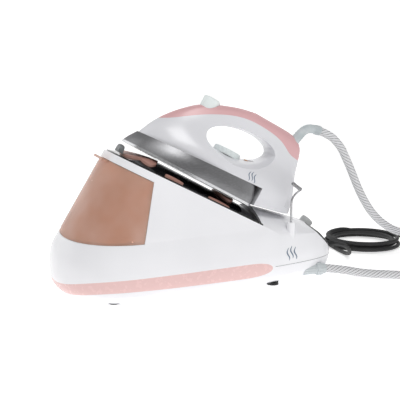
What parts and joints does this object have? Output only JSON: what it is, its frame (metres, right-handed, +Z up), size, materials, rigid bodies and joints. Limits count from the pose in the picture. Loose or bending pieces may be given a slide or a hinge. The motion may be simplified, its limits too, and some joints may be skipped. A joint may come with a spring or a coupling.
{
  "type": "steam generator iron",
  "caption": "Domestic steam generator iron: base station with boiler, pull-out water tank and sloping rest, with the iron on it joined by a steam hose.",
  "frame": {"origin": "on the table under the middle of the base station's footprint", "axes": "+X from the water tank to the hose end, +Z up, +Y completes a right-handed frame"},
  "size_m": [0.673, 0.314, 0.2609],
  "materials": {
    "shell": "gloss",
    "accent": "gloss",
    "dark_plate": "gloss",
    "pad_silicone": "satin",
    "tank_clear": "gloss",
    "control_clear": "satin",
    "amber_lens": "gloss",
    "lamp_red": "gloss",
    "brushed": "brushed",
    "sole_metal": "polished",
    "cast_alloy": "cast",
    "steel": "satin",
    "brass": "satin",
    "inner_plastic": "matt",
    "dark_plastic": "matt",
    "knob_grey": "satin",
    "board_green": "satin",
    "tube_silicone": "satin",
    "soft_black": "matt",
    "boot_grey": "satin",
    "hose_braid": "braided"
  },
  "bodies": {
    "base": {"base_tray": "shell", "base_cover": "shell", "accent_band": "accent", "rear_panel": "dark_plate", "feet": "soft_black", "base_screws": "steel", "rest_plate": "dark_plate", "rest_pad_front": "pad_silicone", "rest_pads": "pad_silicone", "tip_stop": "knob_grey", "tank_socket": "inner_plastic", "tank_seal": "soft_black", "boiler_lower": "steel", "boiler_upper": "steel", "boiler_element": "steel", "safety_valve": "brass", "boiler_thermostat": "dark_plastic", "water_pump": "dark_plastic", "solenoid_valve": "brass", "water_tubes": "tube_silicone", "steam_tube": "tube_silicone", "outlet_tube": "tube_silicone", "control_board": "board_green", "steam_regulator": "inner_plastic", "rocker_housing": "dark_plastic", "holder_bush": "shell", "mains_gland": "soft_black", "hose_gland": "boot_grey", "hose_run": "hose_braid", "hose_coil": "hose_braid", "hose_return": "hose_braid", "mains_lead": "soft_black", "mains_coil": "soft_black", "mains_tail": "soft_black", "mains_plug": "dark_plastic"},
    "iron": {"soleplate": "sole_metal", "skirt": "brushed", "heater_casting": "cast_alloy", "heating_element": "steel", "steam_chamber_cover": "cast_alloy", "iron_housing": "shell", "handle_cover": "accent", "heel_cover": "shell", "thermostat": "dark_plastic", "micro_switch": "dark_plastic", "indicator_lens": "amber_lens", "indicator_lamps": "lamp_red", "iron_screws": "steel", "steam_inlet_tube": "tube_silicone", "hose_boot": "boot_grey", "hose_riser": "hose_braid"},
    "tank": {"water_tank": "tank_clear", "fill_flap": "tank_clear", "tank_valve": "inner_plastic"},
    "dial": {"thermostat_dial": "control_clear"},
    "button": {"steam_button": "control_clear", "button_spring": "steel"},
    "knob": {"steam_knob": "knob_grey"},
    "rocker": {"power_rocker": "dark_plastic"},
    "holder": {"holder_wire": "steel"}
  },
  "joints": [
    {"name": "iron_lift", "type": "slide", "parent": "base", "child": "iron", "axis": [0, 0, 1], "range_m": [0, 0.13]},
    {"name": "tank_slide", "type": "slide", "parent": "base", "child": "tank", "axis": [-1, 0, 0], "range_m": [0, 0.16]},
    {"name": "dial_turn", "type": "hinge", "parent": "iron", "child": "dial", "pos_m": [0.0208, 0, 0.13546], "axis": [0.4848, 0, 0.8746], "range_deg": [0, 300]},
    {"name": "steam_button_press", "type": "slide", "parent": "iron", "child": "button", "axis": [-0.4848, 0, -0.8746], "range_m": [0, 0.003], "stiffness_N_per_m": 500, "springref_m": -0.003},
    {"name": "steam_knob_turn", "type": "hinge", "parent": "base", "child": "knob", "pos_m": [0.1659, 0, 0.0729], "axis": [0.6947, 0, 0.7193], "range_deg": [0, 270]},
    {"name": "power_switch_rock", "type": "hinge", "parent": "base", "child": "rocker", "pos_m": [0.1814, 0, 0.0559], "axis": [0, 1, 0], "range_deg": [0, 20]},
    {"name": "hose_holder_swivel", "type": "hinge", "parent": "base", "child": "holder", "pos_m": [0.1216, -0.05, 0.1], "axis": [0, 0, 1], "range_deg": [-90, 0]}
  ]
}
